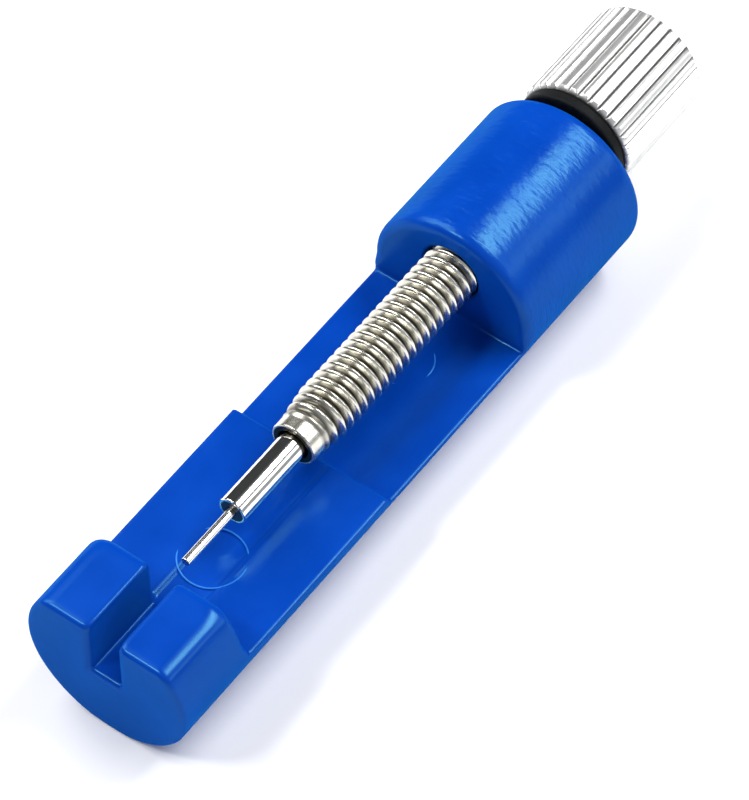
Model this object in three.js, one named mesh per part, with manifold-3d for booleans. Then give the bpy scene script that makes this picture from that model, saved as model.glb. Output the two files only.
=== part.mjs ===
// Watch bracelet pin pusher: a moulded plastic body with a two-pronged fork at its front,
// and a threaded spindle with a thin replaceable tip that drives a bracelet pin out.
// Millimetres, +Z up, +X towards the fork. The origin is under the middle of the whole
// tool, on the surface that its flat base stands on.

import * as THREE from 'three';
import { mergeVertices } from 'three/addons/utils/BufferGeometryUtils.js';
import Module from 'manifold-3d';

const wasm = await Module();
wasm.setup();

// ---------- driving dimensions ----------

// moulded body
const bodyRadius = 8.3; // round section at the barrel's rear end
const forkRadius = 8.1; // round section at the fork's front end, as the body tapers a little
const baseDrop = 7.9; // flat base below the barrel's centre line
const barrelLength = 17.6;
const rearBedLength = 19.4;
const stepRampLength = 1.1;
const frontBedLength = 19.1;
const forkLength = 8.7;
const rearBedDrop = 2.05; // rear bed below the barrel's centre line
const frontBedDrop = 0.7; // front bed below the barrel's centre line
const prongRise = 5.2; // prong tops above the barrel's centre line
const notchWidth = 3;
const barrelRimRounding = 1; // round the barrel's rear and front faces
const forkRimRounding = 0.45; // round the fork's front face
const prongSideRounding = 1; // outer top edge of each prong
const prongEndRounding = 0.7; // front and rear top edges of each prong

// spindle
const spindleRise = 3.25; // spindle axis above the barrel's centre line
const threadRadius = 2.7;
const threadDepth = 0.55;
const threadPitch = 1;
const noseReach = 22.7; // from the barrel's front face to the spindle's end
const noseLength = 1.6; // plain stretch at the spindle's end
const noseRadius = 2.2;
const threadSetback = 0.6; // thread's rear end inside the barrel's rear face
const shankRadius = 1.85;
const threadTaper = 0.5; // the thread grows over this length at its rear end
const fadingTurns = 3; // turns over which the thread fades out before the nose
const noseEdge = 0.15;
const boreClearance = 0.15; // around the thread, in the barrel's front wall

// brass insert in the barrel
const insertRadius = 3.5;
const insertLength = 12;
const insertSink = 0.2; // below the barrel's rear face
const insertPlay = 0.05; // around the insert in its pocket
const insertChamfer = 0.3;
const threadClearance = 0.13;

// washer and knob
const washerPlay = 0.12; // from the barrel, and from the washer to the knob
const washerRadius = 5.45;
const washerBore = 2;
const washerThickness = 1.05;
const washerEdge = 0.2;
const knobRadius = 5.8;
const knobLength = 11.8;
const fluteCount = 32;
const fluteDepth = 0.32;
const fluteShare = 0.36; // part of each flute's pitch that the groove takes
const knobChamfer = 0.35;
const shankEngagement = 8;
const shankPlay = 0.05; // around the shank in the knob

// grub screw that locks the knob to the shank
const grubRadius = 1.25;
const grubSocketRadius = 0.7;
const grubSocketDepth = 1.1;
const grubPlay = 0.05;
const grubChamfer = 0.2;
const grubSink = 0.45; // below the bottom of the knob's flutes
const grubFromFront = 3.6; // along the knob, from its front face
const shankFlatDepth = 0.25; // flat on the shank under the grub screw
const shankFlatLength = 3.4;

// replaceable tip
const holderRadius = 1.35;
const holderReach = 8.4; // visible length of the holder
const holderSeat = 1.6; // length of the holder inside the nose's counterbore
const holderEdge = 0.12;
const stemRadius = 1.25;
const stemDepth = 0.3;
const stemPitch = 0.8;
const stemLength = 4;
const pilotRadius = 0.85;
const pilotLength = 1.6;
const tipPlay = 0.12; // around the holder, its thread and its pilot
const pinRadius = 0.42;
const pinReach = 6.3; // visible length of the pin
const pinSeat = 3; // length of the pin inside the holder
const pinPlay = 0.04;
const pinEdge = 0.06;

// mesh fineness
const bodySteps = 48;
const roundSteps = 32;
const threadSteps = 16;
const arcSteps = 4;

// ---------- places that follow from them ----------

const bodyLength = barrelLength + rearBedLength + stepRampLength + frontBedLength + forkLength;
const knobGap = washerPlay * 2 + washerThickness;
const overallLength = bodyLength + knobGap + knobLength;

const knobRear = -overallLength / 2;
const knobFront = knobRear + knobLength;
const barrelRear = knobFront + knobGap;
const barrelFront = barrelRear + barrelLength;
const stepRear = barrelFront + rearBedLength;
const stepFront = stepRear + stepRampLength;
const forkRear = stepFront + frontBedLength;
const forkFront = forkRear + forkLength;
const noseEnd = barrelFront + noseReach;
const holderEnd = noseEnd + holderReach;
const pinEnd = holderEnd + pinReach;

const barrelHeight = baseDrop;
const spindleHeight = baseDrop + spindleRise;
const rearBedHeight = baseDrop - rearBedDrop;
const frontBedHeight = baseDrop - frontBedDrop;
const prongHeight = baseDrop + prongRise;

const far = 40; // longer than any half of a cutting block needs to be
const over = 1; // how far a cutter runs past the face that it opens
const weldDistance = 1e-4;

// ---------- materials ----------

const bluePlastic = new THREE.MeshStandardMaterial({ color: 0x0248b8, roughness: 0.32, metalness: 0 });
const blackNylon = new THREE.MeshStandardMaterial({ color: 0x131618, roughness: 0.6, metalness: 0 });
const chromePlate = new THREE.MeshStandardMaterial({ color: 0xe4e4e2, roughness: 0.16, metalness: 1 });
const nickelPlate = new THREE.MeshStandardMaterial({ color: 0xd8d2c2, roughness: 0.22, metalness: 1 });
const polishedSteel = new THREE.MeshStandardMaterial({ color: 0xdedcd6, roughness: 0.12, metalness: 1 });
const brass = new THREE.MeshStandardMaterial({ color: 0xc59a4a, roughness: 0.35, metalness: 1 });
const blackSteel = new THREE.MeshStandardMaterial({ color: 0x24262a, roughness: 0.45, metalness: 1 });

// ---------- solids and meshes ----------

// A closed geometry as a solid that can be cut and joined.
function solidOf(geometry) {
  const bare = geometry.clone();
  bare.deleteAttribute('normal');
  bare.deleteAttribute('uv');
  const merged = mergeVertices(bare, weldDistance);
  const corners = merged.index.array;
  const kept = [];
  for (let index = 0; index < corners.length; index += 3) {
    const [a, b, c] = corners.slice(index, index + 3);
    const isFlat = a === b || b === c || c === a;
    if (!isFlat) kept.push(a, b, c);
  }
  return new wasm.Manifold(new wasm.Mesh({
    numProp: 3,
    vertProperties: new Float32Array(merged.attributes.position.array),
    triVerts: new Uint32Array(kept),
  }));
}

// The solid's triangles as a three.js geometry.
function geometryOf(solid) {
  const mesh = solid.getMesh();
  const geometry = new THREE.BufferGeometry();
  geometry.setAttribute('position', new THREE.BufferAttribute(mesh.vertProperties, 3));
  geometry.setIndex(new THREE.BufferAttribute(mesh.triVerts, 1));
  geometry.computeVertexNormals();
  return geometry;
}

// Points of an arc from one angle to another, both in quarter turns.
function arcPoints(centreX, centreY, radius, fromQuarter, toQuarter) {
  const points = [];
  for (let step = 0; step <= arcSteps; step += 1) {
    const angle = (fromQuarter + ((toQuarter - fromQuarter) * step) / arcSteps) * (Math.PI / 2);
    points.push([centreX + radius * Math.cos(angle), centreY + radius * Math.sin(angle)]);
  }
  return points;
}

// A solid of revolution about a line along X. The outline holds [x, radius] points, with X
// rising along its outer side. It starts and ends on the axis, or else closes on itself.
function turned(outline, height, steps = roundSteps) {
  const points = outline.map(([x, radius]) => new THREE.Vector2(radius, x));
  if (outline[0][1] > 0) points.push(points[0].clone());
  const geometry = new THREE.LatheGeometry(points, steps);
  geometry.rotateZ(-Math.PI / 2);
  geometry.translate(0, 0, height);
  return solidOf(geometry);
}

// A plain cylinder along X.
function rod(fromX, toX, radius, height, steps = roundSteps) {
  return turned([[fromX, 0], [fromX, radius], [toX, radius], [toX, 0]], height, steps);
}

// An outline in X and Z, extruded across the whole width.
function sideProfile(points) {
  const shape = new THREE.Shape(points.map(([x, z]) => new THREE.Vector2(x, z)));
  const geometry = new THREE.ExtrudeGeometry(shape, { depth: 2 * far, bevelEnabled: false });
  geometry.rotateX(Math.PI / 2);
  geometry.translate(0, far, 0);
  return solidOf(geometry);
}

// An outline in Y and Z, extruded from one X to another.
function crossProfile(points, fromX, toX) {
  const shape = new THREE.Shape(points.map(([y, z]) => new THREE.Vector2(y, z)));
  const geometry = new THREE.ExtrudeGeometry(shape, { depth: toX - fromX, bevelEnabled: false });
  geometry.rotateX(Math.PI / 2);
  geometry.rotateZ(Math.PI / 2);
  geometry.translate(fromX, 0, 0);
  return solidOf(geometry);
}

// A block between two X values, as wide as given and between two heights.
function block(fromX, toX, fromY, toY, fromZ, toZ) {
  const geometry = new THREE.BoxGeometry(toX - fromX, toY - fromY, toZ - fromZ);
  geometry.translate((fromX + toX) / 2, (fromY + toY) / 2, (fromZ + toZ) / 2);
  return solidOf(geometry);
}

// A right-hand screw thread about a line along X, as one solid rod with a V ridge.
// Its ridge passes the +Y side at every whole pitch of X.
function threadedRod(fromX, toX, crestRadius, depth, pitch, height) {
  const firstRow = Math.floor((2 * fromX) / pitch) - 4;
  const lastRow = Math.ceil((2 * toX) / pitch) + 2;
  const rows = lastRow - firstRow;
  const positions = [];
  for (let row = 0; row <= rows; row += 1) {
    const isCrest = (row + firstRow) % 2 === 0;
    const radius = isCrest ? crestRadius : crestRadius - depth;
    for (let step = 0; step < threadSteps; step += 1) {
      const turn = step / threadSteps;
      const x = ((row + firstRow) / 2 + turn) * pitch;
      const angle = turn * 2 * Math.PI;
      positions.push(x, radius * Math.cos(angle), height + radius * Math.sin(angle));
    }
  }
  const vertex = (row, step) => row * threadSteps + step;
  const startCentre = positions.length / 3;
  positions.push((firstRow / 2 - 1) * pitch, 0, height);
  const endCentre = startCentre + 1;
  positions.push((lastRow / 2 + 2) * pitch, 0, height);

  // One turn on, a row meets the row two further along.
  const triangles = [];
  for (let row = 0; row < rows; row += 1) {
    for (let step = 0; step < threadSteps; step += 1) {
      const last = step === threadSteps - 1;
      if (last && row + 3 > rows) continue;
      const next = last ? vertex(row + 2, 0) : vertex(row, step + 1);
      const nextUp = last ? vertex(row + 3, 0) : vertex(row + 1, step + 1);
      triangles.push([vertex(row, step), next, nextUp]);
      triangles.push([vertex(row, step), nextUp, vertex(row + 1, step)]);
    }
  }
  const startLoop = [vertex(2, 0), vertex(1, 0)];
  for (let step = 0; step < threadSteps; step += 1) startLoop.push(vertex(0, step));
  const endLoop = [];
  for (let step = 0; step < threadSteps; step += 1) endLoop.push(vertex(rows, step));
  endLoop.push(vertex(rows - 1, threadSteps - 1), vertex(rows - 2, threadSteps - 1));
  for (let index = 0; index < startLoop.length; index += 1) {
    const after = (index + 1) % startLoop.length;
    triangles.push([startCentre, startLoop[after], startLoop[index]]);
    triangles.push([endCentre, endLoop[index], endLoop[after]]);
  }

  const thread = new wasm.Manifold(new wasm.Mesh({
    numProp: 3,
    vertProperties: new Float32Array(positions),
    triVerts: new Uint32Array(triangles.flat()),
  }));
  return thread.intersect(block(fromX, toX, -far, far, height - far, height + far));
}

function meshOf(name, solid, material) {
  const mesh = new THREE.Mesh(geometryOf(solid), material);
  mesh.name = name;
  return mesh;
}

// ---------- moulded body ----------

function bodyRadiusAt(x) {
  return bodyRadius - ((bodyRadius - forkRadius) * (x - barrelRear)) / bodyLength;
}

// The full round bar that the body is carved from, up to a place along it. Its rear and
// front rims are rounded.
function roundBar(toX, frontRounding) {
  const rearX = barrelRear + barrelRimRounding;
  const frontX = toX - frontRounding;
  const outline = [
    [barrelRear, 0],
    ...arcPoints(rearX, bodyRadius - barrelRimRounding, barrelRimRounding, 2, 1),
    ...arcPoints(frontX, bodyRadiusAt(toX) - frontRounding, frontRounding, 1, 0),
    [toX, 0],
  ];
  return turned(outline, barrelHeight, bodySteps);
}

// Everything below the beds and the prong tops, seen from the side.
function bedAndForkOutline() {
  return sideProfile([
    [barrelFront - barrelLength / 2, -far],
    [forkFront + far, -far],
    [forkFront + far, prongHeight - prongEndRounding],
    ...arcPoints(forkFront - prongEndRounding, prongHeight - prongEndRounding, prongEndRounding, 0, 1),
    ...arcPoints(forkRear + prongEndRounding, prongHeight - prongEndRounding, prongEndRounding, 1, 2),
    [forkRear, frontBedHeight],
    [stepFront, frontBedHeight],
    [stepRear, rearBedHeight],
    [barrelFront - barrelLength / 2, rearBedHeight],
  ]);
}

// The corner that is taken off the outer top edge of the prong on one side. The rounding
// runs from the flat top into the round side of the body.
function prongEdgeCut(side) {
  const rise = prongRise - prongSideRounding;
  const centreY = Math.sqrt((forkRadius - prongSideRounding) ** 2 - rise ** 2);
  const sideQuarter = Math.atan2(rise, centreY) / (Math.PI / 2);
  const arc = arcPoints(centreY, barrelHeight + rise, prongSideRounding, sideQuarter, 1);
  const outline = [...arc, [centreY, far], [far, far], [far, arc[0][1]]];
  const points = outline.map(([y, z]) => [side * y, z]);
  return crossProfile(points, forkRear - over, forkFront + over);
}

function frameSolid() {
  const insertPocket = rod(
    barrelRear - over,
    barrelRear + insertSink + insertLength + insertPlay,
    insertRadius + insertPlay,
    spindleHeight,
  );
  const holeRadius = threadRadius + boreClearance;
  const spindleHole = rod(barrelRear, barrelFront + over, holeRadius, spindleHeight);
  const notch = block(
    forkRear - over,
    forkFront + over,
    -notchWidth / 2,
    notchWidth / 2,
    frontBedHeight,
    far,
  );
  const underBase = block(-2 * far, 2 * far, -far, far, -far, 0);
  return roundBar(forkFront, forkRimRounding)
    .intersect(bedAndForkOutline())
    .add(roundBar(barrelFront, barrelRimRounding))
    .subtract(prongEdgeCut(1))
    .subtract(prongEdgeCut(-1))
    .subtract(notch)
    .subtract(underBase)
    .subtract(insertPocket)
    .subtract(spindleHole);
}

// ---------- brass insert ----------

function insertSolid() {
  const from = barrelRear + insertSink;
  const to = from + insertLength;
  const outline = [
    [from, 0],
    [from, insertRadius - insertChamfer],
    [from + insertChamfer, insertRadius],
    [to - insertChamfer, insertRadius],
    [to, insertRadius - insertChamfer],
    [to, 0],
  ];
  const tap = threadedRod(
    from - over,
    to + over,
    threadRadius + threadClearance,
    threadDepth,
    threadPitch,
    spindleHeight,
  );
  return turned(outline, spindleHeight).subtract(tap);
}

// ---------- spindle ----------

// The tip's seat in the nose: a counterbore, a tapped hole and a pilot hole.
function tipSeat() {
  const seatEnd = noseEnd - holderSeat - tipPlay;
  const stemEnd = seatEnd - stemLength - tipPlay;
  const pilotEnd = stemEnd - pilotLength - tipPlay;
  const counterbore = rod(seatEnd, noseEnd + over, stemRadius + 2 * tipPlay, spindleHeight, threadSteps);
  const pilotHole = rod(pilotEnd, stemEnd + over, pilotRadius + tipPlay, spindleHeight, threadSteps);
  const tap = threadedRod(
    stemEnd,
    seatEnd + over,
    stemRadius + tipPlay,
    stemDepth,
    stemPitch,
    spindleHeight,
  );
  return counterbore.add(tap).add(pilotHole);
}

// The flat that the grub screw bears on, under the shank.
function shankFlat() {
  const middle = knobFront - grubFromFront;
  const flatHeight = spindleHeight - shankRadius + shankFlatDepth;
  const half = shankFlatLength / 2;
  return block(middle - half, middle + half, -far, far, -far, flatHeight);
}

function spindleSolid() {
  const threadRear = barrelRear + threadSetback;
  const threadFront = noseEnd - noseLength;
  const thread = threadedRod(
    threadRear,
    threadFront,
    threadRadius,
    threadDepth,
    threadPitch,
    spindleHeight,
  );
  const envelope = turned([
    [threadRear, 0],
    [threadRear, threadRadius - threadTaper],
    [threadRear + threadTaper, threadRadius + threadTaper],
    [threadFront - threadPitch * fadingTurns, threadRadius + threadTaper / 4],
    [threadFront, noseRadius],
    [threadFront, 0],
  ], spindleHeight);
  const nose = turned([
    [threadFront - threadTaper, 0],
    [threadFront - threadTaper, noseRadius],
    [noseEnd - noseEdge, noseRadius],
    [noseEnd, noseRadius - noseEdge],
    [noseEnd, 0],
  ], spindleHeight);
  const shankRear = knobFront - shankEngagement + shankPlay;
  const shank = rod(shankRear, threadRear + threadTaper, shankRadius, spindleHeight);
  return thread
    .intersect(envelope)
    .add(nose)
    .add(shank)
    .subtract(shankFlat())
    .subtract(tipSeat());
}

// ---------- knob, washer and grub screw ----------

// The knob's cross-section: wide lands and narrow round-bottomed flutes.
function flutedOutline() {
  const points = [];
  const pitchAngle = (2 * Math.PI) / fluteCount;
  for (let flute = 0; flute < fluteCount; flute += 1) {
    const start = flute * pitchAngle;
    const corners = [
      [0, knobRadius],
      [1 - fluteShare, knobRadius],
      [1 - fluteShare / 2, knobRadius - fluteDepth],
    ];
    for (const [share, radius] of corners) {
      const angle = start + share * pitchAngle;
      points.push([radius * Math.cos(angle), spindleHeight + radius * Math.sin(angle)]);
    }
  }
  return points;
}

function grubHole() {
  const radius = grubRadius + grubPlay;
  const geometry = new THREE.CylinderGeometry(radius, radius, far, roundSteps);
  geometry.rotateX(Math.PI / 2);
  geometry.translate(knobFront - grubFromFront, 0, spindleHeight - far / 2);
  return solidOf(geometry);
}

function knobSolid() {
  const chamferReach = knobRadius + knobChamfer;
  const envelope = turned([
    [knobRear, 0],
    [knobRear, knobRadius - knobChamfer],
    [knobRear + 2 * knobChamfer, chamferReach],
    [knobFront - 2 * knobChamfer, chamferReach],
    [knobFront, knobRadius - knobChamfer],
    [knobFront, 0],
  ], spindleHeight, 2 * fluteCount);
  const holeRadius = shankRadius + shankPlay;
  const shankHole = rod(knobFront - shankEngagement, knobFront + over, holeRadius, spindleHeight);
  return crossProfile(flutedOutline(), knobRear, knobFront)
    .intersect(envelope)
    .subtract(shankHole)
    .subtract(grubHole());
}

function washerSolid() {
  const front = barrelRear - washerPlay;
  const rear = front - washerThickness;
  return turned([
    [rear, washerBore],
    [rear, washerRadius - washerEdge],
    [rear + washerEdge, washerRadius],
    [front - washerEdge, washerRadius],
    [front, washerRadius - washerEdge],
    [front, washerBore],
  ], spindleHeight, bodySteps);
}

// A headless screw with a hexagon socket, standing under the shank with its socket down.
function grubSolid() {
  const top = spindleHeight - shankRadius + shankFlatDepth - grubPlay;
  const bottom = spindleHeight - knobRadius + fluteDepth + grubSink;
  const length = top - bottom;
  const outline = [
    [0, 0],
    [grubRadius - grubChamfer, 0],
    [grubRadius, grubChamfer],
    [grubRadius, length - grubChamfer],
    [grubRadius - grubChamfer, length],
    [0, length],
  ];
  const points = outline.map(([radius, z]) => new THREE.Vector2(radius, z));
  const body = new THREE.LatheGeometry(points, roundSteps);
  body.rotateX(Math.PI / 2);
  body.translate(knobFront - grubFromFront, 0, bottom);
  const socket = new THREE.CylinderGeometry(grubSocketRadius, grubSocketRadius, 2 * grubSocketDepth, 6);
  socket.rotateX(Math.PI / 2);
  socket.translate(knobFront - grubFromFront, 0, bottom);
  return solidOf(body).subtract(solidOf(socket));
}

// ---------- replaceable tip ----------

function holderSolid() {
  const shoulder = noseEnd - holderSeat;
  const stemRear = shoulder - stemLength;
  const pilotRear = stemRear - pilotLength;
  const stem = threadedRod(stemRear, shoulder, stemRadius, stemDepth, stemPitch, spindleHeight);
  const holder = turned([
    [shoulder - holderEdge, 0],
    [shoulder - holderEdge, holderRadius - holderEdge],
    [shoulder, holderRadius],
    [holderEnd - holderEdge, holderRadius],
    [holderEnd, holderRadius - holderEdge],
    [holderEnd, 0],
  ], spindleHeight);
  const pilot = rod(pilotRear, stemRear + holderEdge, pilotRadius, spindleHeight, threadSteps);
  const pinHole = rod(
    holderEnd - pinSeat - pinPlay,
    holderEnd + over,
    pinRadius + pinPlay,
    spindleHeight,
  );
  return holder.add(stem).add(pilot).subtract(pinHole);
}

function pinSolid() {
  return turned([
    [holderEnd - pinSeat, 0],
    [holderEnd - pinSeat, pinRadius],
    [pinEnd - pinEdge, pinRadius],
    [pinEnd, pinRadius - pinEdge],
    [pinEnd, 0],
  ], spindleHeight);
}

// ---------- the tool ----------

const tool = new THREE.Group();
tool.name = 'bracelet_pin_pusher';
tool.add(
  meshOf('frame', frameSolid(), bluePlastic),
  meshOf('threaded_insert', insertSolid(), brass),
  meshOf('thrust_washer', washerSolid(), blackNylon),
  meshOf('spindle', spindleSolid(), nickelPlate),
  meshOf('knob', knobSolid(), chromePlate),
  meshOf('knob_grub_screw', grubSolid(), blackSteel),
  meshOf('tip_holder', holderSolid(), polishedSteel),
  meshOf('tip_pin', pinSolid(), polishedSteel),
);

export default tool;
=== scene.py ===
"""Watch bracelet pin pusher: the looks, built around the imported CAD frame.

Outlines are in millimetres and become metres when a mesh is made. +X points from the knob
to the fork, and +Z up out of the bed, as in the frame.
"""

import math

import bmesh
import bpy
import numpy as np
from mathutils import Matrix, Vector


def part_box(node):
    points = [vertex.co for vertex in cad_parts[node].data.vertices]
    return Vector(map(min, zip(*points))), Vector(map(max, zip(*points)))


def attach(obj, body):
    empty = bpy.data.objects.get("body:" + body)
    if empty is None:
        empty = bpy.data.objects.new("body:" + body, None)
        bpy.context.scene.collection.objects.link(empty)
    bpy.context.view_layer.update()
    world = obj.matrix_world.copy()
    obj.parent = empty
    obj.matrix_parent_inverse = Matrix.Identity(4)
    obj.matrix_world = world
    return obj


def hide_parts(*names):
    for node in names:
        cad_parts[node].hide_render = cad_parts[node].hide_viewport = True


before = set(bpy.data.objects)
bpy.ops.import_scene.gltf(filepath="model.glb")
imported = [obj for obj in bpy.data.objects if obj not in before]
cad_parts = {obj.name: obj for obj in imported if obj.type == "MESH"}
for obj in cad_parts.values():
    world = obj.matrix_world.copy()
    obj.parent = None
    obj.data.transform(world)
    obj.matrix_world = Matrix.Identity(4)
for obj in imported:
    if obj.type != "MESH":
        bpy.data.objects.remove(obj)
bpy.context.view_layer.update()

MM = 0.001
FULL_TURN = 2 * math.pi

# ---------- places taken from the frame, in millimetres ----------


def node_span(node):
    """Lowest and highest corner of a CAD node, in millimetres."""
    low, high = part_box(node)
    return np.array(low) / MM, np.array(high) / MM


frame_low, frame_high = node_span("frame")
knob_low, knob_high = node_span("knob")
washer_low, washer_high = node_span("thrust_washer")
insert_low, insert_high = node_span("threaded_insert")
spindle_low, spindle_high = node_span("spindle")
pin_low, pin_high = node_span("tip_pin")
grub_low, grub_high = node_span("knob_grub_screw")

BODY_RADIUS = (frame_high[1] - frame_low[1]) / 2
CENTRE_Z = frame_high[2] - BODY_RADIUS
AXIS_Z = (washer_low[2] + washer_high[2]) / 2
BARREL_REAR = frame_low[0]
FORK_FRONT = frame_high[0]
NOSE_END = spindle_high[0]
HOLDER_END = node_span("tip_holder")[1][0]
PIN_END = pin_high[0]
KNOB_RADIUS = (knob_high[1] - knob_low[1]) / 2
THREAD_RADIUS = (spindle_high[1] - spindle_low[1]) / 2

# ---------- sizes that the frame's boxes don't give, in millimetres ----------

BARREL_LENGTH = 17.6
REAR_BED_LENGTH = 19.4
STEP_RAMP = 1.1
FORK_LENGTH = 8.7
REAR_BED_DROP = 2.05
FRONT_BED_DROP = 0.7
FORK_RADIUS = 8.1
PRONG_RISE = 5.2
NOTCH_WIDTH = 3.0
BARREL_RIM_ROUNDING = 1.0
FORK_RIM_ROUNDING = 0.5
BARREL_EDGE_ROUNDING = 0.95
PRONG_SIDE_ROUNDING = 0.7
PRONG_REAR_ROUNDING = 0.9
REAR_CORNER_EXTRA = 0.6  # added to the prong's side rounding at its rear corner
BED_EDGE_ROUNDING = 0.24
BASE_EDGE_ROUNDING = 0.35
NOTCH_ROUNDING = 0.25
NOTCH_END_EXTRA = 0.5  # added to the notch's rounding at its ends
EDGE_GROWTH_START = 0.3  # height above the bed where its edge rounding starts to grow
EDGE_GROWTH_HEIGHT = 1.6
REAR_CORNER_REACH = 2.2
NOTCH_END_REACH = 1.6
BARREL_FILLET = 0.3
FORK_FILLET = 0.4
FORK_LEAN = 0.06
SPINDLE_HOLE_PLAY = 0.15
SPINDLE_HOLE_ROUNDING = 0.2
POCKET_ROUNDING = 0.15
POCKET_PLAY = 0.05

BARREL_FRONT = BARREL_REAR + BARREL_LENGTH
STEP_REAR = BARREL_FRONT + REAR_BED_LENGTH
STEP_FRONT = STEP_REAR + STEP_RAMP
FORK_REAR = FORK_FRONT - FORK_LENGTH

THREAD_PITCH = 1.0
THREAD_DEPTH = 0.6
RUNOUT_LENGTH = 3.2  # over which the thread fades out before the nose
NOSE_RADIUS = 2.2
NOSE_LENGTH = 1.25
SHANK_RADIUS = 1.85
STEM_PITCH = 0.8
STEM_RADIUS = 1.25
STEM_DEPTH = 0.3
THREAD_PLAY = 0.13
TIP_PLAY = 0.12
HOLDER_RADIUS = 1.35
HOLDER_SEAT = 1.6
STEM_LENGTH = 4.0
PILOT_LENGTH = 1.6
PILOT_RADIUS = 0.85
PIN_RADIUS = 0.42
FLUTES = 32
FLUTE_DEPTH = 0.34
FLUTE_HALF_WIDTH = 0.2  # as a share of the spacing of the flutes
FLUTE_CROWN = 0.05
KNOB_CHAMFER = 0.38
KNOB_BORE_PLAY = 0.05
KNOB_BORE_DEPTH = 8.0
UNCUT = KNOB_RADIUS + 1  # a limit that leaves the flutes whole

# ---------- camera ----------


def direction(azimuth, elevation):
    """Unit vector from the object towards a viewer. Azimuth 0 looks along +Y."""
    turn, rise = math.radians(azimuth), math.radians(elevation)
    flat = math.cos(rise)
    return Vector((math.sin(turn) * flat, -math.cos(turn) * flat, math.sin(rise)))


def make_camera():
    """A long lens at the photograph's viewing angle."""
    back = direction(azimuth=125.43, elevation=53.47)
    aim = Vector((0.86, -0.98, 2.44)) * MM
    distance = 348.6 * MM
    roll = math.radians(0.68)
    data = bpy.data.cameras.new("camera")
    data.lens = 181.0
    data.sensor_width = 36.0
    data.clip_start = 0.01
    data.clip_end = 20.0
    camera = bpy.data.objects.new("camera", data)
    right = Vector((0, 0, 1)).cross(back).normalized()
    up = back.cross(right)
    right, up = (
        right * math.cos(roll) + up * math.sin(roll),
        up * math.cos(roll) - right * math.sin(roll),
    )
    place = aim + back * distance
    camera.matrix_world = Matrix((
        (right.x, up.x, back.x, place.x),
        (right.y, up.y, back.y, place.y),
        (right.z, up.z, back.z, place.z),
        (0, 0, 0, 1),
    ))
    bpy.context.scene.collection.objects.link(camera)
    bpy.context.scene.camera = camera


# ---------- floor, world and lights ----------


def make_floor():
    half = 1.5
    mesh = bpy.data.meshes.new("floor")
    mesh.from_pydata(
        [(-half, -half, 0), (half, -half, 0), (half, half, 0), (-half, half, 0)],
        [],
        [(0, 1, 2, 3)],
    )
    floor = bpy.data.objects.new("floor", mesh)
    bpy.context.scene.collection.objects.link(floor)
    material, nodes, links, shader = new_material("floor_paper")
    shader.inputs["Base Color"].default_value = (0.96, 0.96, 0.96, 1)
    shader.inputs["Roughness"].default_value = 0.9
    shader.inputs["Specular IOR Level"].default_value = 0.1
    mesh.materials.append(material)


def make_world():
    """A pale room whose far side is darker than its near side and its ceiling."""
    world = bpy.data.worlds.new("studio")
    bpy.context.scene.world = world
    world.use_nodes = True
    nodes, links = world.node_tree.nodes, world.node_tree.links
    background = nodes["Background"]
    coordinates = nodes.new("ShaderNodeTexCoord")
    split = nodes.new("ShaderNodeSeparateXYZ")
    links.new(coordinates.outputs["Generated"], split.inputs["Vector"])
    side = nodes.new("ShaderNodeMapRange")
    side.inputs["From Min"].default_value = -0.2
    side.inputs["From Max"].default_value = 0.35
    side.interpolation_type = "SMOOTHSTEP"
    links.new(split.outputs["Y"], side.inputs["Value"])
    tone = nodes.new("ShaderNodeMix")
    tone.data_type = "RGBA"
    tone.inputs[6].default_value = (0.05, 0.052, 0.055, 1)
    tone.inputs[7].default_value = (0.38, 0.40, 0.42, 1)
    links.new(side.outputs["Result"], tone.inputs[0])
    links.new(tone.outputs[2], background.inputs["Color"])
    background.inputs["Strength"].default_value = 1.0


def area_light(name, towards, distance, width, height, power, colour=(1, 1, 1)):
    """A soft box that faces the object from a direction."""
    data = bpy.data.lights.new(name, "AREA")
    data.shape = "RECTANGLE"
    data.size = width
    data.size_y = height
    data.energy = power
    data.color = colour
    light = bpy.data.objects.new(name, data)
    place = Vector(towards).normalized() * distance
    light.location = place
    light.rotation_mode = "QUATERNION"
    light.rotation_quaternion = place.to_track_quat("Z", "Y")
    bpy.context.scene.collection.objects.link(light)


def make_lights():
    area_light("key", (0.02, -0.70, 0.72), 0.80, 0.55, 0.55, 5.8)
    area_light("front_box", (0.46, -0.34, 0.82), 0.80, 0.13, 0.13, 2.0)
    area_light("top_box", (-0.485, 0.24, 0.84), 0.60, 0.34, 0.14, 2.7)
    area_light("side_box", (-0.485, 0.74, 0.50), 0.60, 0.42, 0.14, 0.5)


# ---------- materials ----------


def new_material(name):
    material = bpy.data.materials.new(name)
    material.use_nodes = True
    nodes, links = material.node_tree.nodes, material.node_tree.links
    return material, nodes, links, nodes["Principled BSDF"]


def noise(nodes, links, scale, detail, stretch=(1, 1, 1), seed=0.0):
    """A noise texture over the object's own coordinates, with features 1/scale metres wide."""
    coordinates = nodes.new("ShaderNodeTexCoord")
    mapping = nodes.new("ShaderNodeMapping")
    mapping.inputs["Scale"].default_value = stretch
    mapping.inputs["Location"].default_value = (seed, seed, seed)
    links.new(coordinates.outputs["Object"], mapping.inputs["Vector"])
    texture = nodes.new("ShaderNodeTexNoise")
    texture.inputs["Scale"].default_value = scale
    texture.inputs["Detail"].default_value = detail
    links.new(mapping.outputs["Vector"], texture.inputs["Vector"])
    return texture.outputs["Fac"]


def spread(nodes, links, value, low, high, clip_low=0.3, clip_high=0.7):
    """Maps a noise value to a range."""
    node = nodes.new("ShaderNodeMapRange")
    node.inputs["From Min"].default_value = clip_low
    node.inputs["From Max"].default_value = clip_high
    node.inputs["To Min"].default_value = low
    node.inputs["To Max"].default_value = high
    links.new(value, node.inputs["Value"])
    return node.outputs["Result"]


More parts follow.
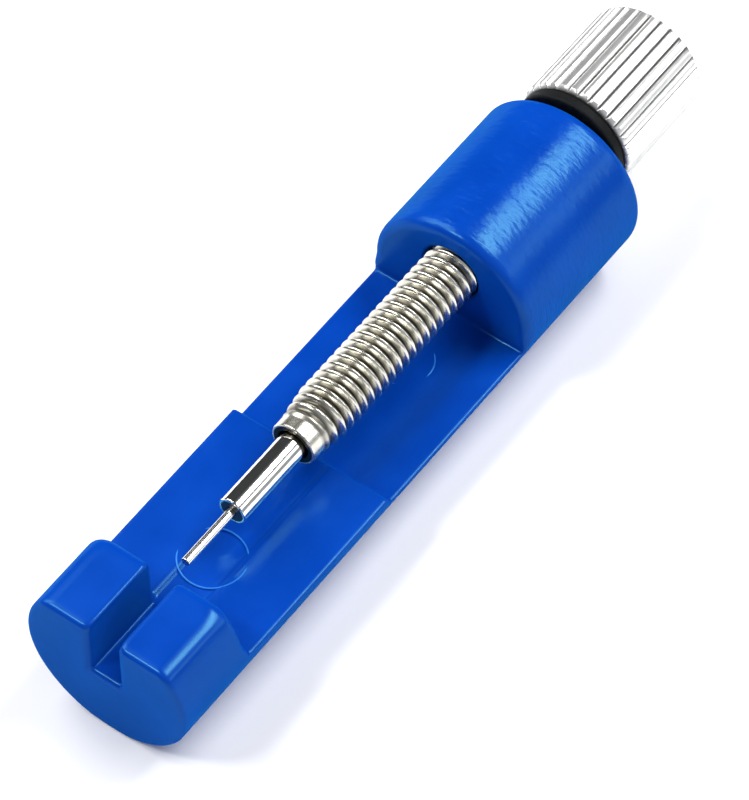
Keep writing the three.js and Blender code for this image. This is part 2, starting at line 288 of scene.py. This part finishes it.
def tint(nodes, links, value, first, second):
    """Colours between two tones."""
    ramp = nodes.new("ShaderNodeValToRGB")
    ramp.color_ramp.elements[0].position = 0.35
    ramp.color_ramp.elements[0].color = (*first, 1)
    ramp.color_ramp.elements[1].position = 0.65
    ramp.color_ramp.elements[1].color = (*second, 1)
    links.new(value, ramp.inputs["Fac"])
    return ramp.outputs["Color"]


def bump(nodes, links, shader, height, distance, strength):
    """Gives a shader a relief, whose distance is in metres."""
    node = nodes.new("ShaderNodeBump")
    node.inputs["Strength"].default_value = strength
    node.inputs["Distance"].default_value = distance
    links.new(height, node.inputs["Height"])
    links.new(node.outputs["Normal"], shader.inputs["Normal"])
    return node


def combined(nodes, links, operation, first, second):
    """Two values combined by arithmetic."""
    node = nodes.new("ShaderNodeMath")
    node.operation = operation
    links.new(first, node.inputs[0])
    links.new(second, node.inputs[1])
    return node.outputs["Value"]


def share_behind(nodes, links, plane, softness):
    """1 behind a plane across the bar, 0 in front of it, from the object's own coordinates."""
    coordinates = nodes.new("ShaderNodeTexCoord")
    split = nodes.new("ShaderNodeSeparateXYZ")
    links.new(coordinates.outputs["Object"], split.inputs["Vector"])
    return spread(
        nodes, links, split.outputs["X"], 1, 0, (plane - softness) * MM, (plane + softness) * MM,
    )


def blue_plastic(name="blue_plastic", first=(0.0002, 0.037, 0.325), second=(0.0004, 0.044, 0.37)):
    """Moulded plastic with flow marks around the barrel, and a cyan gloss of even strength."""
    material, nodes, links, shader = new_material(name)
    wide = noise(nodes, links, 180, 3, (1, 1, 1), 2.0)
    links.new(tint(nodes, links, wide, first, second), shader.inputs["Base Color"])
    marks = noise(nodes, links, 2300, 3, (1.0, 0.32, 0.32), 5.0)
    on_barrel = share_behind(nodes, links, BARREL_FRONT, 1.0)
    depth = spread(nodes, links, on_barrel, 0.03, 1.0, 0, 1)
    height = combined(nodes, links, "MULTIPLY", marks, depth)
    waves = bump(nodes, links, shader, height, 0.00008, 0.8)
    polish = spread(nodes, links, wide, 0.21, 0.27)
    links.new(polish, shader.inputs["Roughness"])
    shader.inputs["Specular IOR Level"].default_value = 0.0
    shader.inputs["Sheen Weight"].default_value = 0.15
    shader.inputs["Sheen Roughness"].default_value = 0.45
    shader.inputs["Sheen Tint"].default_value = (0.05, 0.6, 1.0, 1)
    gloss = nodes.new("ShaderNodeBsdfGlossy")
    gloss.inputs["Color"].default_value = (0.3, 0.95, 1.0, 1)
    links.new(polish, gloss.inputs["Roughness"])
    links.new(waves.outputs["Normal"], gloss.inputs["Normal"])
    both = nodes.new("ShaderNodeMixShader")
    both.inputs["Fac"].default_value = 0.028
    links.new(shader.outputs["BSDF"], both.inputs[1])
    links.new(gloss.outputs["BSDF"], both.inputs[2])
    links.new(both.outputs["Shader"], nodes["Material Output"].inputs["Surface"])
    return material


def plated(name, first, second, rough_low, rough_high, grain=2500, stretch=(1, 1, 1)):
    """Bright plating with a slight change of tone and of polish."""
    material, nodes, links, shader = new_material(name)
    wide = noise(nodes, links, 420, 2, (1, 1, 1), 1.0)
    links.new(tint(nodes, links, wide, first, second), shader.inputs["Base Color"])
    fine = noise(nodes, links, grain, 4, stretch, 3.0)
    links.new(spread(nodes, links, fine, rough_low, rough_high), shader.inputs["Roughness"])
    bump(nodes, links, shader, fine, 0.000001, 0.5)
    shader.inputs["Metallic"].default_value = 1.0
    return material


def radius_share(nodes, links, inner, outer):
    """0 at an inner distance from the spindle's axis, 1 at an outer one."""
    coordinates = nodes.new("ShaderNodeTexCoord")
    to_axis = nodes.new("ShaderNodeVectorMath")
    to_axis.operation = "SUBTRACT"
    to_axis.inputs[1].default_value = (0, 0, AXIS_Z * MM)
    links.new(coordinates.outputs["Object"], to_axis.inputs[0])
    across = nodes.new("ShaderNodeVectorMath")
    across.operation = "MULTIPLY"
    across.inputs[1].default_value = (0, 1, 1)
    links.new(to_axis.outputs["Vector"], across.inputs[0])
    from_axis = nodes.new("ShaderNodeVectorMath")
    from_axis.operation = "LENGTH"
    links.new(across.outputs["Vector"], from_axis.inputs[0])
    return spread(nodes, links, from_axis.outputs["Value"], 0, 1, inner * MM, outer * MM)


def shade_painted_plate(nodes, links, shader, share, low, first, second, rough_low, rough_high):
    """Plating with painted shade: darker and duller where the share is 0."""
    fine = noise(nodes, links, 900, 3, (1, 1, 1), 3.0)
    plate = tint(nodes, links, fine, first, second)
    blend = nodes.new("ShaderNodeMix")
    blend.data_type = "RGBA"
    links.new(share, blend.inputs[0])
    blend.inputs[6].default_value = (*low, 1)
    links.new(plate, blend.inputs[7])
    links.new(blend.outputs[2], shader.inputs["Base Color"])
    links.new(spread(nodes, links, share, rough_high, rough_low, 0, 1), shader.inputs["Roughness"])


def threaded_nickel():
    """Bright nickel plate with painted shade down in the thread, on the nose's end face and in its
    bore.
    """
    material, nodes, links, shader = new_material("threaded_nickel")
    root = THREAD_RADIUS - THREAD_DEPTH
    crest = radius_share(nodes, links, root + 0.02, root + 0.34)
    outside = radius_share(nodes, links, NOSE_RADIUS - 0.25, NOSE_RADIUS - 0.15)
    behind = share_behind(nodes, links, NOSE_END - 1.5, 0.3)
    plain_nose = combined(nodes, links, "SUBTRACT", outside, behind)
    bright = combined(nodes, links, "MAXIMUM", crest, plain_nose)
    shade_painted_plate(
        nodes, links, shader, bright,
        (0.03, 0.025, 0.015), (0.62, 0.60, 0.53), (0.80, 0.78, 0.70), 0.24, 0.40,
    )
    shader.inputs["Metallic"].default_value = 1.0
    return material


def fluted_chrome():
    """Satin chrome plate with painted shade down in the flutes and on its end faces."""
    material, nodes, links, shader = new_material("fluted_chrome")
    share = radius_share(nodes, links, KNOB_RADIUS - FLUTE_DEPTH, KNOB_RADIUS - 0.12)
    shade_painted_plate(
        nodes, links, shader, share,
        (0.22, 0.22, 0.22), (0.76, 0.76, 0.75), (0.84, 0.84, 0.83), 0.32, 0.45,
    )
    shader.inputs["Metallic"].default_value = 0.9
    return material


def polished_steel():
    """Mirror-bright steel with painted shade, darker and rougher, on its end face and down in its
    thread.
    """
    material, nodes, links, shader = new_material("polished_steel")
    share = radius_share(nodes, links, HOLDER_RADIUS - 0.26, HOLDER_RADIUS - 0.18)
    shade_painted_plate(
        nodes, links, shader, share,
        (0.07, 0.075, 0.07), (0.80, 0.79, 0.76), (0.87, 0.86, 0.83), 0.07, 0.35,
    )
    shader.inputs["Metallic"].default_value = 1.0
    return material


def black_nylon():
    material, nodes, links, shader = new_material("black_nylon")
    fine = noise(nodes, links, 3000, 3)
    links.new(
        tint(nodes, links, fine, (0.002, 0.0025, 0.003), (0.005, 0.006, 0.007)),
        shader.inputs["Base Color"],
    )
    links.new(spread(nodes, links, fine, 0.5, 0.7), shader.inputs["Roughness"])
    bump(nodes, links, shader, fine, 0.000004, 0.5)
    shader.inputs["Specular IOR Level"].default_value = 0.12
    return material


# ---------- meshes ----------


def add_piece(name, vertices, faces, body, material, replaced):
    """Makes a closed mesh from millimetres, and gives it to a body."""
    mesh = bpy.data.meshes.new(name)
    mesh.from_pydata((np.asarray(vertices) * MM).tolist(), [], faces)
    mesh.validate()
    piece = bpy.data.objects.new(name, mesh)
    bpy.context.scene.collection.objects.link(piece)
    mesh.materials.append(material)
    mesh.shade_smooth()
    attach(piece, body)
    if replaced:
        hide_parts(replaced)
    return piece


def arc(centre_x, centre_r, radius, start, end, steps=5):
    """Points [x, r] on an arc, with angles in degrees from +X towards +r."""
    angles = np.radians(np.linspace(start, end, steps + 1))
    return [(centre_x + radius * math.cos(a), centre_r + radius * math.sin(a)) for a in angles]


def supported(outline, margin=0.03):
    """Adds a point near both ends of each long stretch, so that shading stays crisp."""
    points = [outline[0]]
    for (x0, r0), (x1, r1) in zip(outline, outline[1:]):
        length = math.hypot(x1 - x0, r1 - r0)
        if length > 6 * margin:
            share = margin / length
            points.append((x0 + (x1 - x0) * share, r0 + (r1 - r0) * share))
            points.append((x1 - (x1 - x0) * share, r1 - (r1 - r0) * share))
        points.append((x1, r1))
    return points


def thread_rows(start, end, crest, depth, pitch, steps_per_pitch, strength=None):
    """Rows of a right-hand thread between two X values, as (x, radius function of angle).

    strength(x) runs from 0, where the thread hasn't begun, to 1 where it is whole.
    """
    crest_share, flank_share = 0.14, 0.72
    count = int(abs(end - start) / pitch * steps_per_pitch) + 1
    rows = []
    for x in np.linspace(start, end, count):
        def radius(angle, x=x):
            phase = (x / pitch - angle / FULL_TURN + 0.5) % 1.0 - 0.5
            slope = np.clip((np.abs(phase) * 2 - crest_share) / flank_share, 0, 1)
            rounded = 0.5 * slope + 0.5 * slope * slope * (3 - 2 * slope)
            whole = crest - depth * rounded
            if strength is None:
                return whole
            share = strength(x)
            return NOSE_RADIUS + (whole - NOSE_RADIUS) * share
        rows.append((x, radius))
    return rows


def turned_mesh(rows, steps, height):
    """Rings about the spindle's line. A row is (x, radius) or (x, function of angle).

    Rows start and end on the axis, or the last one joins the first.
    """
    angles = np.arange(steps) * FULL_TURN / steps
    vertices, faces = [], []
    starts = []
    for x, radius in rows:
        values = radius(angles) if callable(radius) else np.full(steps, float(radius))
        if not callable(radius) and radius == 0:
            starts.append((len(vertices), 1))
            vertices.append((x, 0, height))
            continue
        starts.append((len(vertices), steps))
        for angle, value in zip(angles, values):
            vertices.append((x, value * math.cos(angle), height + value * math.sin(angle)))
    pairs = list(zip(starts, starts[1:]))
    if starts[0][1] > 1:
        pairs.append((starts[-1], starts[0]))
    for (first, first_size), (second, second_size) in pairs:
        for step in range(steps):
            after = (step + 1) % steps
            if first_size == 1:
                faces.append((first, second + after, second + step))
            elif second_size == 1:
                faces.append((first + step, first + after, second))
            else:
                faces.append((first + step, first + after, second + after, second + step))
    return vertices, faces


# ---------- moulded body as a distance field ----------


def round_both(a, b, radius):
    """Where both shapes are, with a rounding along the edge between them."""
    corner = np.sqrt(np.maximum(a + radius, 0) ** 2 + np.maximum(b + radius, 0) ** 2)
    return np.minimum(np.maximum(a, b), -radius) + corner


def round_either(a, b, radius):
    """Where either shape is, with a fillet along the corner between them."""
    return -round_both(-a, -b, radius)


def top_profile(x, z):
    """Distance above the beds, the barrel and the fork, seen from the side."""
    share = np.clip((x - STEP_REAR) / STEP_RAMP, 0, 1)
    share = share * share * (3 - 2 * share)
    bed = z + REAR_BED_DROP - (REAR_BED_DROP - FRONT_BED_DROP) * share
    barrel = x - BARREL_FRONT
    lean = FORK_LEAN * (z + FRONT_BED_DROP)
    fork = round_both(z - PRONG_RISE, FORK_REAR + lean - x, PRONG_REAR_ROUNDING)
    return round_either(round_either(bed, barrel, BARREL_FILLET), fork, FORK_FILLET), bed


def round_bar(x, y, z):
    """The tapered round bar that the body is carved from."""
    taper = (BODY_RADIUS - FORK_RADIUS) * (x - BARREL_REAR) / (FORK_FRONT - BARREL_REAR)
    side = np.sqrt(y * y + z * z) - BODY_RADIUS + taper
    bar = round_both(side, BARREL_REAR - x, BARREL_RIM_ROUNDING)
    return round_both(bar, x - FORK_FRONT, FORK_RIM_ROUNDING)


def top_edge_rounding(x, above_bed):
    """Rounding between the round bar and the top profile: small at the beds, larger above them."""
    above = np.clip((above_bed - EDGE_GROWTH_START) / EDGE_GROWTH_HEIGHT, 0, 1)
    near_rear = np.clip(1 - np.abs(x - FORK_REAR) / REAR_CORNER_REACH, 0, 1)
    prong = PRONG_SIDE_ROUNDING + REAR_CORNER_EXTRA * near_rear
    whole = np.where(x < STEP_REAR, BARREL_EDGE_ROUNDING, prong)
    return BED_EDGE_ROUNDING + (whole - BED_EDGE_ROUNDING) * above * above * (3 - 2 * above)


def body_field(x, y, z):
    """Signed distance to the body's surface, roughly. Heights count from the barrel's centre."""
    top, above_bed = top_profile(x, z)
    body = round_both(round_bar(x, y, z), top, top_edge_rounding(x, above_bed))
    notch = np.maximum(np.abs(y) - NOTCH_WIDTH / 2, -FRONT_BED_DROP - z)
    notch = np.maximum(notch, STEP_FRONT - x)
    from_end = np.minimum(x - FORK_REAR, FORK_FRONT - x)
    near_end = np.clip(1 - from_end / NOTCH_END_REACH, 0, 1)
    body = round_both(body, -notch, NOTCH_ROUNDING + NOTCH_END_EXTRA * near_end * near_end)
    body = round_both(body, -(z + CENTRE_Z), BASE_EDGE_ROUNDING)
    from_axis = np.sqrt(y * y + (z - (AXIS_Z - CENTRE_Z)) ** 2)
    hole = np.maximum(from_axis - (THREAD_RADIUS + SPINDLE_HOLE_PLAY), x - STEP_REAR)
    body = round_both(body, -hole, SPINDLE_HOLE_ROUNDING)
    pocket_radius = (insert_high[1] - insert_low[1]) / 2 + POCKET_PLAY
    pocket = np.maximum(from_axis - pocket_radius, x - insert_high[0] - POCKET_PLAY)
    return round_both(body, -pocket, POCKET_ROUNDING)


def spaced(low, high, marks, fine, coarse, reach):
    """Grid positions that are close together near the marks and further apart elsewhere."""
    positions = [low]
    while positions[-1] < high:
        nearest = min(abs(positions[-1] - mark) for mark in marks)
        positions.append(positions[-1] + (fine if nearest < reach else coarse))
    return np.array(positions)


def net_surface(field, xs, ys, zs):
    """Vertices and quads where a field crosses zero, one vertex in each crossed cell."""
    values = field(*np.meshgrid(xs, ys, zs, indexing="ij"))
    inside = values < 0
    counts = [len(xs) - 1, len(ys) - 1, len(zs) - 1]
    total = np.zeros((*counts, 3))
    crossings = np.zeros(counts)
    axes = (xs, ys, zs)
    corners = [(i, j, k) for i in (0, 1) for j in (0, 1) for k in (0, 1)]

    def corner_slice(corner):
        return tuple(slice(c, c + n) for c, n in zip(corner, counts))

    def corner_place(corner):
        places = [axis[c:c + n] for axis, c, n in zip(axes, corner, counts)]
        return np.meshgrid(*places, indexing="ij")

    for first in corners:
        for axis in range(3):
            if first[axis]:
                continue
            second = tuple(1 if index == axis else value for index, value in enumerate(first))
            a, b = values[corner_slice(first)], values[corner_slice(second)]
            crossed = (a < 0) != (b < 0)
            share = np.where(crossed, a / np.where(crossed, a - b, 1), 0)
            start, end = corner_place(first), corner_place(second)
            for dimension in range(3):
                point = start[dimension] + (end[dimension] - start[dimension]) * share
                total[..., dimension] += np.where(crossed, point, 0)
            crossings += crossed
    used = crossings > 0
    index = np.full(counts, -1)
    index[used] = np.arange(used.sum())
    points = total[used] / crossings[used][:, None]

    quads = []
    for axis in range(3):
        low = [slice(1, -1)] * 3
        high = [slice(1, -1)] * 3
        low[axis] = slice(0, -1)
        high[axis] = slice(1, None)
        a, b = inside[tuple(low)], inside[tuple(high)]
        where = np.argwhere(a != b)
        where[:, [d for d in range(3) if d != axis]] += 1
        u, v = [d for d in range(3) if d != axis]
        for place in where:
            cells = []
            for du, dv in ((0, 0), (-1, 0), (-1, -1), (0, -1)):
                cell = place.copy()
                cell[u] += du
                cell[v] += dv
                cells.append(index[tuple(cell)])
            solid_first = inside[tuple(place)]
            turns_left = (axis != 1) == bool(solid_first)
            quads.append(tuple(cells) if turns_left else tuple(reversed(cells)))
    return points, quads


def settle(field, points, rounds=3):
    """Moves points onto the surface along the field's slope."""
    reach = 0.01
    longest_step = 0.08
    least_slope = 0.5
    for _ in range(rounds):
        value = field(*points.T)
        slope = np.stack([
            (field(*(points + offset).T) - field(*(points - offset).T)) / (2 * reach)
            for offset in np.eye(3) * reach
        ], axis=1)
        size = np.maximum((slope * slope).sum(axis=1), least_slope ** 2)
        step = np.clip(value / size, -longest_step, longest_step)
        points = points - slope * step[:, None]
    return points


def make_body(material):
    marks = (BARREL_REAR, BARREL_FRONT, STEP_REAR, STEP_FRONT, FORK_REAR, FORK_FRONT)
    xs = spaced(
        BARREL_REAR - 0.5, FORK_FRONT + 0.5, marks, fine=0.18, coarse=0.7, reach=1.3,
    )
    margin, cell = 0.4, 0.22
    ys = np.arange(-BODY_RADIUS - margin, BODY_RADIUS + margin, cell)
    zs = np.arange(-CENTRE_Z - margin, BODY_RADIUS + margin, cell)
    points, quads = net_surface(body_field, xs, ys, zs)
    points = settle(body_field, points)
    points[:, 2] += CENTRE_Z
    return add_piece("moulded_body", points, quads, "frame_body", material, "frame")


def make_moulding_mark(name, x, y, radius, bed_drop, start, material):
    """A faint ring left by an ejector pin, which stands out of the bed along three arcs."""
    ring, tube = 120, 8
    thickness = 0.085
    vertices, faces = [], []
    for step in range(ring):
        turn = step * FULL_TURN / ring
        sunk = thickness * (1.0 + 0.75 * math.cos(3 * (turn - start)))
        height = CENTRE_Z - bed_drop - sunk
        for side in range(tube):
            angle = side * FULL_TURN / tube
            out = radius + thickness * math.cos(angle)
            vertices.append((
                x + out * math.cos(turn),
                y + out * math.sin(turn),
                height + thickness * math.sin(angle),
            ))
            here, after = step * tube, (step + 1) % ring * tube
            up = (side + 1) % tube
            faces.append((here + side, after + side, after + up, here + up))
    add_piece(name, vertices, faces, "frame_body", material, None)


# ---------- brass insert ----------


def make_insert(material):
    radius = (insert_high[1] - insert_low[1]) / 2
    rear, front = insert_low[0], insert_high[0]
    edge = 0.3
    bore = THREAD_RADIUS + THREAD_PLAY
    outline = supported([
        (rear, bore), (rear, radius - edge), (rear + edge, radius),
        (front - edge, radius), (front, radius - edge), (front, bore),
    ])
    rows = outline + thread_rows(front, rear, bore, THREAD_DEPTH, THREAD_PITCH, 8)
    vertices, faces = turned_mesh(rows, 64, AXIS_Z)
    add_piece("brass_insert", vertices, faces, "frame_body", material, "threaded_insert")


# ---------- spindle ----------


def thread_strength(x):
    """The thread fades out over the last few turns before the nose."""
    share = np.clip((NOSE_END - NOSE_LENGTH - x) / RUNOUT_LENGTH, 0, 1)
    return share ** 0.8


def make_spindle(material):
    shank_rear = spindle_low[0]
    thread_rear = BARREL_REAR + 0.6
    thread_front = NOSE_END - NOSE_LENGTH
    edge, lead_in = 0.12, 0.1
    seat = NOSE_END - HOLDER_SEAT - TIP_PLAY
    stem_end = seat - STEM_LENGTH - TIP_PLAY
    pilot_end = stem_end - PILOT_LENGTH - TIP_PLAY
    mouth = STEM_RADIUS + 2 * TIP_PLAY
    rows = supported([
        (shank_rear, 0), (shank_rear, SHANK_RADIUS - edge), (shank_rear + edge, SHANK_RADIUS),
        (thread_rear, SHANK_RADIUS),
    ])
    rows += thread_rows(
        thread_rear + 0.05, thread_front, THREAD_RADIUS, THREAD_DEPTH, THREAD_PITCH, 10,
        thread_strength,
    )
    rows += supported([(thread_front + 0.05, NOSE_RADIUS), (NOSE_END - edge, NOSE_RADIUS)])
    rows += arc(NOSE_END - edge, NOSE_RADIUS - edge, edge, 75, 0, 4)
    rows += supported([
        (NOSE_END, NOSE_RADIUS - edge), (NOSE_END, mouth + lead_in), (NOSE_END - lead_in, mouth),
        (seat, mouth),
    ])
    rows += thread_rows(seat, stem_end, STEM_RADIUS + TIP_PLAY, STEM_DEPTH, STEM_PITCH, 6)
    pilot_bore = PILOT_RADIUS + TIP_PLAY
    rows += [(stem_end, pilot_bore), (pilot_end, pilot_bore), (pilot_end, 0)]
    vertices, faces = turned_mesh(rows, 72, AXIS_Z)
    add_piece(
        "threaded_spindle", vertices, faces, "spindle_body", material, "spindle",
    )


# ---------- knob, washer and grub screw ----------


def flute_radius(limit):
    """Radius of the fluted knob, never past a limit, as a function of angle."""
    def radius(angle):
        phase = (angle * FLUTES / FULL_TURN + 0.5) % 1.0 - 0.5
        groove = np.clip(1 - np.abs(phase) / FLUTE_HALF_WIDTH, 0, 1)
        crown = FLUTE_CROWN * np.abs(phase) * 2
        shape = KNOB_RADIUS - FLUTE_CROWN + crown - FLUTE_DEPTH * groove ** 0.85
        return np.minimum(shape, limit)
    return radius


def chamfered_flutes(end, inwards):
    """Rows from a fluted end's face to the whole flutes. Inwards is 1 or -1 along X."""
    face = KNOB_RADIUS - KNOB_CHAMFER
    rows = [
        (0, face - 0.02),
        (0.01, face),
        (KNOB_CHAMFER * 0.5, KNOB_RADIUS - KNOB_CHAMFER * 0.42),
        (KNOB_CHAMFER, UNCUT),
        (KNOB_CHAMFER + 0.04, UNCUT),
    ]
    return [(end + inwards * depth, flute_radius(limit)) for depth, limit in rows]


def make_knob(material):
    rear, front = knob_low[0], knob_high[0]
    inner = KNOB_RADIUS - FLUTE_DEPTH - 0.35
    bore = SHANK_RADIUS + KNOB_BORE_PLAY
    bore_end = front - KNOB_BORE_DEPTH
    lead_in = 0.15
    rows = supported([(rear, 0), (rear, inner)])
    rows += chamfered_flutes(rear, 1)
    rows += reversed(chamfered_flutes(front, -1))
    rows += supported([
        (front, inner), (front, bore + lead_in), (front - lead_in, bore), (bore_end, bore),
        (bore_end, 0),
    ])
    vertices, faces = turned_mesh(rows, FLUTES * 12, AXIS_Z)
    knob = add_piece(
        "fluted_knob", vertices, faces, "spindle_body", material, "knob",
    )
    cut_grub_hole(knob)


def cut_grub_hole(knob):
    """Drills the grub screw's hole into the underside of the knob."""
    radius = (grub_high[0] - grub_low[0]) / 2 + 0.05
    centre = (grub_low[0] + grub_high[0]) / 2
    cutter_mesh = bpy.data.meshes.new("cutter")
    shape = bmesh.new()
    bmesh.ops.create_cone(
        shape, cap_ends=True, segments=48, radius1=radius * MM, radius2=radius * MM, depth=8 * MM,
    )
    bmesh.ops.translate(shape, verts=shape.verts, vec=Vector((centre, 0, AXIS_Z - 4)) * MM)
    shape.to_mesh(cutter_mesh)
    shape.free()
    cutter = bpy.data.objects.new("cutter", cutter_mesh)
    bpy.context.scene.collection.objects.link(cutter)
    modifier = knob.modifiers.new("hole", "BOOLEAN")
    modifier.operation = "DIFFERENCE"
    modifier.solver = "EXACT"
    modifier.object = cutter
    depsgraph = bpy.context.evaluated_depsgraph_get()
    cut = bpy.data.meshes.new_from_object(knob.evaluated_get(depsgraph))
    knob.modifiers.clear()
    knob.data = cut
    bpy.data.objects.remove(cutter)
    knob.data.set_sharp_from_angle(angle=math.radians(32))


def make_washer(material):
    rear, front = washer_low[0], washer_high[0]
    radius = (washer_high[1] - washer_low[1]) / 2
    bore, edge = 2.0, 0.25
    rows = supported([(rear, bore), (rear, radius - edge)])
    rows += arc(rear + edge, radius - edge, edge, 165, 105, 4)
    rows += supported([(rear + edge, radius), (front - edge, radius)])
    rows += arc(front - edge, radius - edge, edge, 75, 15, 4)
    rows += supported([(front, radius - edge), (front, bore)])
    vertices, faces = turned_mesh(rows, 96, AXIS_Z)
    add_piece(
        "black_washer", vertices, faces, "washer_body", material, "thrust_washer",
    )


def make_grub_screw(material):
    """A headless screw with a hexagon socket in its lower end, turned along X and stood upright."""
    radius = (grub_high[0] - grub_low[0]) / 2
    bottom, top = grub_low[2], grub_high[2]
    centre_x = (grub_low[0] + grub_high[0]) / 2
    edge, socket, depth = 0.2, 0.7, 1.1
    pitch, groove = 0.45, 0.16
    sixth = FULL_TURN / 6

    def hexagon(angle):
        return socket * math.cos(sixth / 2) / np.cos(angle % sixth - sixth / 2)

    rows = [(bottom + depth, 0), (bottom + depth, hexagon)]
    rows += [(bottom + 0.02, hexagon), (bottom, hexagon)]
    rows += [(bottom, radius - edge - 0.03), (bottom, radius - edge)]
    for z in np.arange(bottom + edge, top - edge, pitch / 6):
        rows.append((z, radius - groove * (0.5 + 0.5 * math.cos(FULL_TURN * z / pitch))))
    rows += [(top, radius - edge), (top, 0)]
    turned, faces = turned_mesh(rows, 48, 0)
    vertices = [(centre_x + across, along, z) for z, across, along in turned]
    screw = add_piece(
        "grub_screw", vertices, faces, "spindle_body", material, "knob_grub_screw",
    )
    screw.data.set_sharp_from_angle(angle=math.radians(32))


# ---------- replaceable tip ----------


def make_holder(material):
    shoulder = NOSE_END - HOLDER_SEAT
    stem_rear = shoulder - STEM_LENGTH
    pilot_rear = stem_rear - PILOT_LENGTH
    edge = 0.12
    pin_bore = PIN_RADIUS + 0.04
    rows = [(pilot_rear, 0), (pilot_rear, PILOT_RADIUS - edge), (pilot_rear + edge, PILOT_RADIUS)]
    rows += [(stem_rear, PILOT_RADIUS)]
    rows += thread_rows(stem_rear + 0.05, shoulder - 0.15, STEM_RADIUS, STEM_DEPTH, STEM_PITCH, 8)
    rows += [(shoulder - 0.05, HOLDER_RADIUS - edge), (shoulder + edge, HOLDER_RADIUS)]
    rows += supported([(shoulder + edge + 0.01, HOLDER_RADIUS), (HOLDER_END - edge, HOLDER_RADIUS)])
    rows += arc(HOLDER_END - edge, HOLDER_RADIUS - edge, edge, 70, 0, 4)
    rows += supported([(HOLDER_END, HOLDER_RADIUS - edge - 0.01), (HOLDER_END, pin_bore)])
    rows += [(pin_low[0] - 0.04, pin_bore), (pin_low[0] - 0.04, 0)]
    vertices, faces = turned_mesh(rows, 64, AXIS_Z)
    add_piece(
        "polished_holder", vertices, faces, "tip_holder_body", material,
        "tip_holder",
    )


def make_pin(material):
    rear = pin_low[0]
    edge = 0.08
    rows = supported([(rear, 0), (rear, PIN_RADIUS), (PIN_END - edge, PIN_RADIUS)])
    rows += arc(PIN_END - edge, PIN_RADIUS - edge, edge, 70, 0, 3)
    rows += [(PIN_END, 0)]
    vertices, faces = turned_mesh(rows, 40, AXIS_Z)
    add_piece("pusher_pin", vertices, faces, "tip_pin_body", material, "tip_pin")


# ---------- the scene ----------

bpy.context.scene.view_settings.view_transform = "Standard"
make_camera()
make_floor()
make_world()
make_lights()

plastic = blue_plastic()
make_body(plastic)
# Lighter blue on the ejector rings is a painted highlight; the rings themselves are real moulding
# marks.
highlight_painted_plastic = blue_plastic("highlight_painted_plastic", (0.01, 0.13, 0.55), (0.03, 0.2, 0.65))
make_moulding_mark(
    "front_moulding_mark", BARREL_FRONT + 33.6, -0.2, 3.0, FRONT_BED_DROP, 0.35, highlight_painted_plastic,
)
make_moulding_mark(
    "rear_moulding_mark", BARREL_FRONT + 6.7, -0.1, 2.75, REAR_BED_DROP, 0.9, highlight_painted_plastic,
)
make_insert(plated("turned_brass", (0.52, 0.30, 0.065), (0.62, 0.37, 0.09), 0.25, 0.4))
make_spindle(threaded_nickel())
make_knob(fluted_chrome())
make_washer(black_nylon())
make_grub_screw(plated("black_oxide", (0.02, 0.021, 0.024), (0.035, 0.036, 0.04), 0.35, 0.5))
make_holder(polished_steel())
make_pin(plated(
    "hardened_steel", (0.74, 0.73, 0.69), (0.80, 0.79, 0.75), 0.14, 0.22,
    grain=3000, stretch=(8, 1, 1),
))
